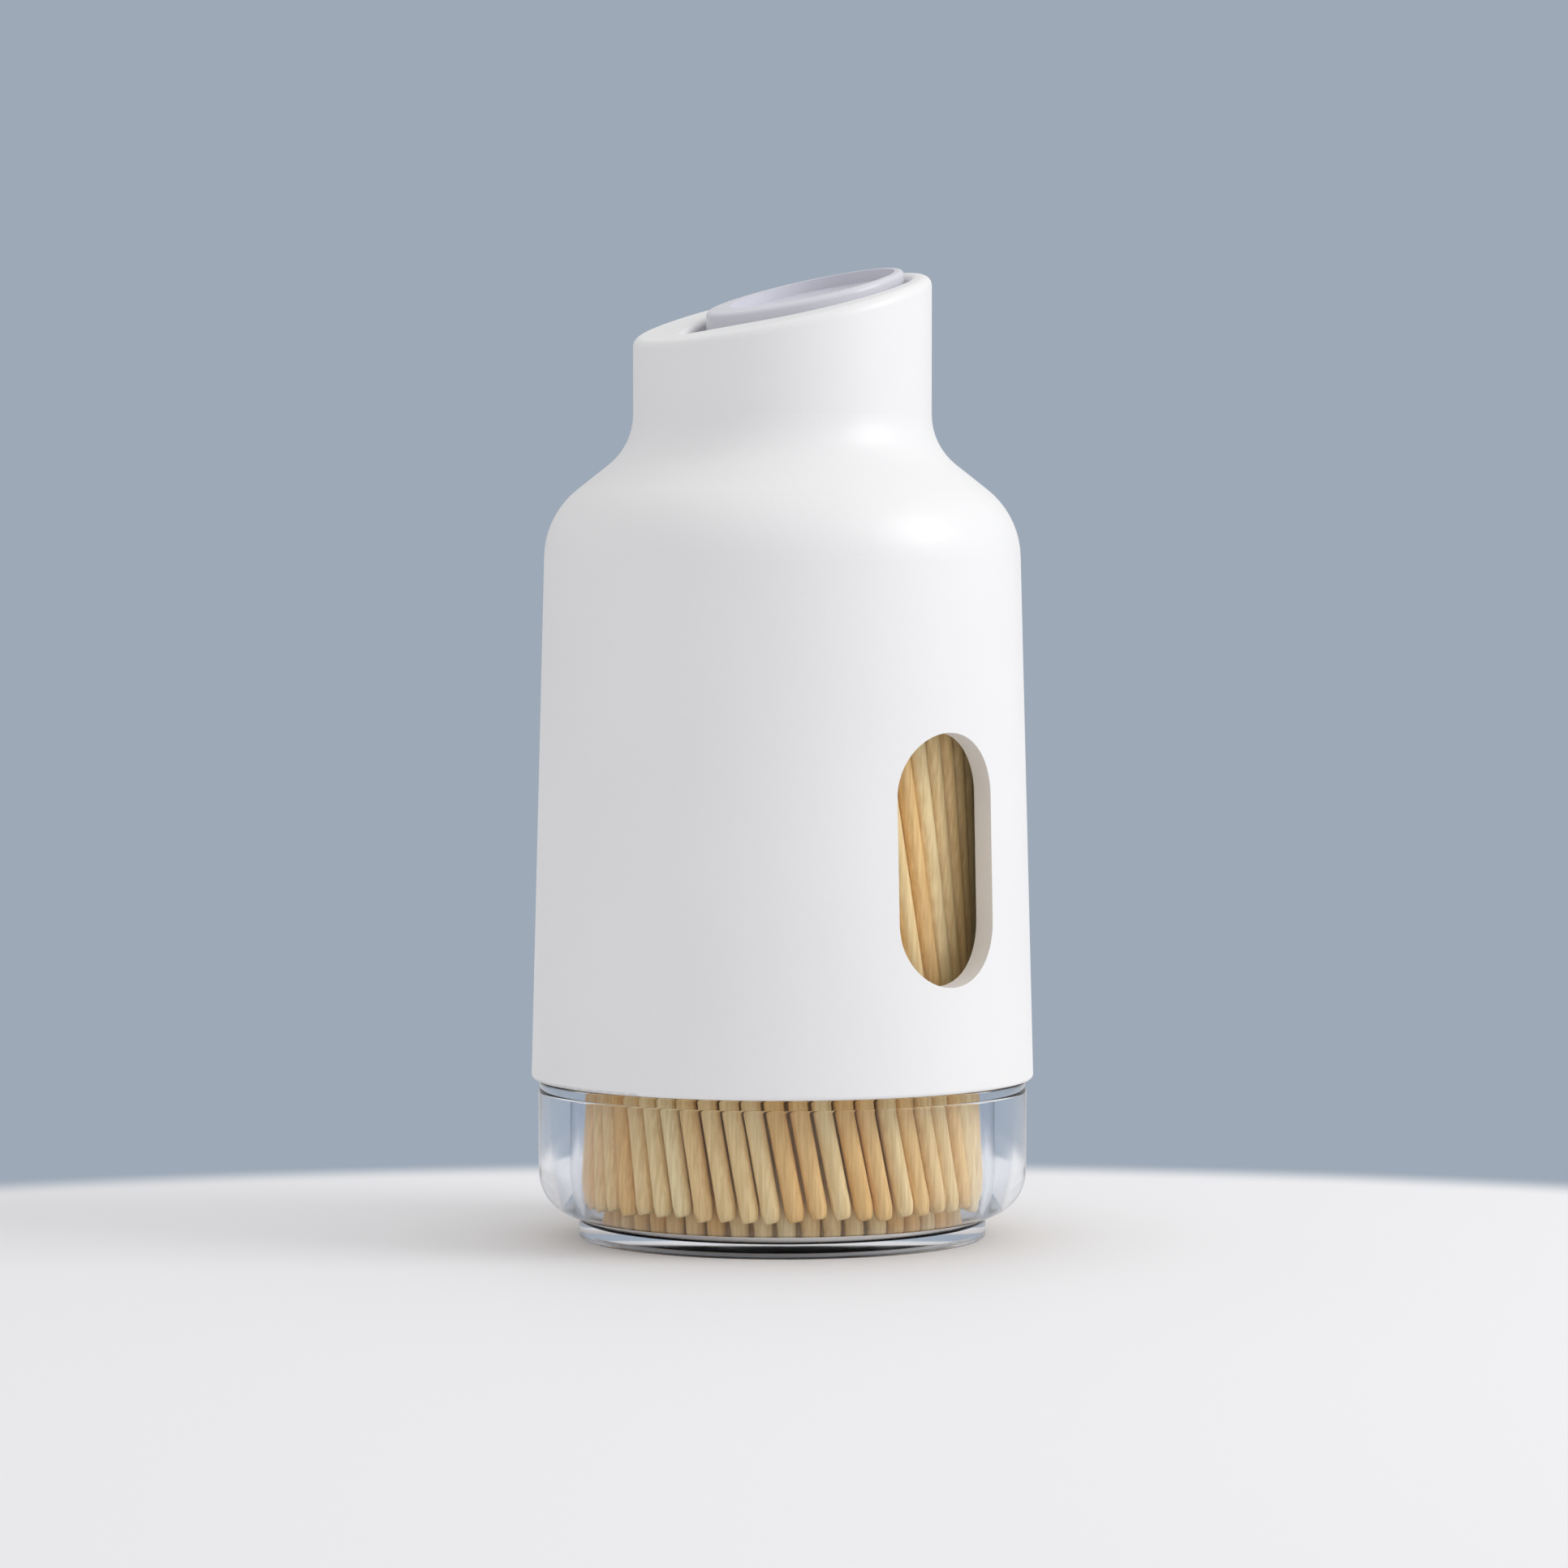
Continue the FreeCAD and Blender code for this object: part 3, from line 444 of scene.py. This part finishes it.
def dress_all():
    shell = moulded_plastic("shell_white", SHELL_PALE, SHELL_DARK, 0.40, 5200, 0.04 * MM)
    # The button's base colour holds painted shade and a painted reflection of the blue-grey backdrop
    button_shaded = moulded_plastic("button_grey", BUTTON_PAINTED_SHADE_PALE, BUTTON_PAINTED_SHADE_DARK, 0.30, 4200, 0.03 * MM)
    inner = moulded_plastic("inner_plastic", INNER_PALE, INNER_DARK, 0.48, 3800, 0.05 * MM)
    gear = moulded_plastic("gear_plastic", GEAR_PALE, GEAR_DARK, 0.36, 4200, 0.03 * MM)
    metal = steel()
    rubber = elastic()
    clear = clear_plastic("clear_plastic")
    wood = stick_wood()
    dress("outer_shell", shell)
    dress("press_button", button_shaded)
    for node in ("button_plunger", "mechanism_frame", "pick_funnel", "button_guide", "exit_guide"):
        dress(node, inner)
    for node in ("drive_pinion", "rack_lifter"):
        dress(node, gear)
    for node in ("return_spring", "pinion_axle", "axle_clips", "frame_screws"):
        dress(node, metal)
    for node in ("seal_ring", "lifter_grip"):
        dress(node, rubber)
    for make, node in ((make_clear_bowl, "base_bowl"), (make_clear_canister, "canister")):
        piece = make()
        piece.data.materials.append(clear)
        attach(piece, "base")
        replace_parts(piece, node)
    make_sticks(wood)


# Floor, light and camera

def make_floor():
    """Pale floor under the part and toward the camera, running out to the backdrop's colour."""
    data = bpy.data.meshes.new("floor")
    corners = [(FLOOR_HALF * x, FLOOR_HALF * y, 0) for x, y in ((-1, -1), (1, -1), (1, 1), (-1, 1))]
    data.from_pydata(corners, [], [(0, 1, 2, 3)])
    floor = new_object("floor", data)
    material, tree, shader = new_material("floor")
    shader.inputs["Base Color"].default_value = FLOOR_PALE
    shader.inputs["Roughness"].default_value = 0.65
    place = tree.nodes.new("ShaderNodeTexCoord")
    length = tree.nodes.new("ShaderNodeVectorMath")
    length.operation = "LENGTH"
    middle = tree.nodes.new("ShaderNodeVectorMath")
    middle.operation = "SUBTRACT"
    middle.inputs[1].default_value = TOWARD_CAMERA * FLOOR_SHIFT
    tree.links.new(place.outputs["Object"], middle.inputs[0])
    tree.links.new(middle.outputs["Vector"], length.inputs[0])
    fade = tree.nodes.new("ShaderNodeMapRange")
    fade.interpolation_type = "SMOOTHSTEP"
    fade.inputs["From Min"].default_value = FLOOR_EDGE_INSIDE
    fade.inputs["From Max"].default_value = FLOOR_EDGE_OUTSIDE
    tree.links.new(length.outputs["Value"], fade.inputs["Value"])
    path = tree.nodes.new("ShaderNodeLightPath")
    seen = tree.nodes.new("ShaderNodeMath")
    seen.operation = "MAXIMUM"
    tree.links.new(path.outputs["Is Camera Ray"], seen.inputs[0])
    tree.links.new(path.outputs["Is Transmission Ray"], seen.inputs[1])
    share = tree.nodes.new("ShaderNodeMath")
    share.operation = "MULTIPLY"
    tree.links.new(fade.outputs["Result"], share.inputs[0])
    tree.links.new(seen.outputs["Value"], share.inputs[1])
    glow = tree.nodes.new("ShaderNodeEmission")
    glow.inputs["Color"].default_value = BACKDROP
    mix = tree.nodes.new("ShaderNodeMixShader")
    tree.links.new(share.outputs["Value"], mix.inputs["Fac"])
    tree.links.new(shader.outputs["BSDF"], mix.inputs[1])
    tree.links.new(glow.outputs["Emission"], mix.inputs[2])
    tree.links.new(mix.outputs["Shader"], tree.nodes["Material Output"].inputs["Surface"])
    data.materials.append(material)


def make_world():
    """Pale light, stronger from above. The camera and clear plastic see the plain backdrop."""
    world = bpy.data.worlds.new("world")
    bpy.context.scene.world = world
    world.use_nodes = True
    tree = world.node_tree
    light = tree.nodes["Background"]
    light.inputs["Strength"].default_value = WORLD_STRENGTH
    place = tree.nodes.new("ShaderNodeTexCoord")
    split = tree.nodes.new("ShaderNodeSeparateXYZ")
    sky = tree.nodes.new("ShaderNodeValToRGB")
    sky.color_ramp.elements[0].position = 0.0
    sky.color_ramp.elements[0].color = SKY_LOW
    sky.color_ramp.elements[1].position = 0.8
    sky.color_ramp.elements[1].color = SKY_HIGH
    tree.links.new(place.outputs["Generated"], split.inputs["Vector"])
    tree.links.new(split.outputs["Z"], sky.inputs["Fac"])
    tree.links.new(sky.outputs["Color"], light.inputs["Color"])
    seen = tree.nodes.new("ShaderNodeBackground")
    seen.inputs["Color"].default_value = BACKDROP
    path = tree.nodes.new("ShaderNodeLightPath")
    first = tree.nodes.new("ShaderNodeMath")
    first.operation = "MAXIMUM"
    tree.links.new(path.outputs["Is Camera Ray"], first.inputs[0])
    tree.links.new(path.outputs["Is Transmission Ray"], first.inputs[1])
    mix = tree.nodes.new("ShaderNodeMixShader")
    tree.links.new(first.outputs["Value"], mix.inputs["Fac"])
    tree.links.new(light.outputs["Background"], mix.inputs[1])
    tree.links.new(seen.outputs["Background"], mix.inputs[2])
    tree.links.new(mix.outputs["Shader"], tree.nodes["World Output"].inputs["Surface"])


def add_lamp(name, turn, height, distance, size, power):
    """Soft square lamp aimed at the part's middle. Its turn from the camera is in degrees,
    anticlockwise seen from above."""
    angle = CAMERA_TURN + math.radians(turn - 90)
    place = Vector((distance * math.cos(angle), distance * math.sin(angle), height))
    lamp = bpy.data.lights.new(name, "AREA")
    lamp.size = size
    lamp.energy = power
    piece = new_object(name, lamp)
    piece.location = place
    aim = Vector((0, 0, LAMP_AIM_HEIGHT)) - place
    piece.rotation_euler = aim.to_track_quat("-Z", "Y").to_euler()


def make_camera():
    data = bpy.data.cameras.new("camera")
    data.lens = CAMERA_FOCAL
    data.sensor_width = SENSOR_WIDTH
    data.sensor_fit = "HORIZONTAL"
    camera = new_object("camera", data)
    place = TOWARD_CAMERA * CAMERA_DISTANCE + Vector((0, 0, CAMERA_HEIGHT))
    camera.location = place
    side = Vector((math.cos(CAMERA_TURN), math.sin(CAMERA_TURN), 0))
    aim = Vector((0, 0, CAMERA_AIM_HEIGHT)) + side * CAMERA_AIM_SHIFT - place
    camera.rotation_euler = aim.to_track_quat("-Z", "Y").to_euler()
    bpy.context.scene.camera = camera


make_camera()
dress_all()
make_floor()
make_world()
add_lamp("key_lamp", turn=76, height=0.42, distance=0.62, size=0.36, power=1.95)
bpy.context.scene.view_settings.view_transform = "Standard"
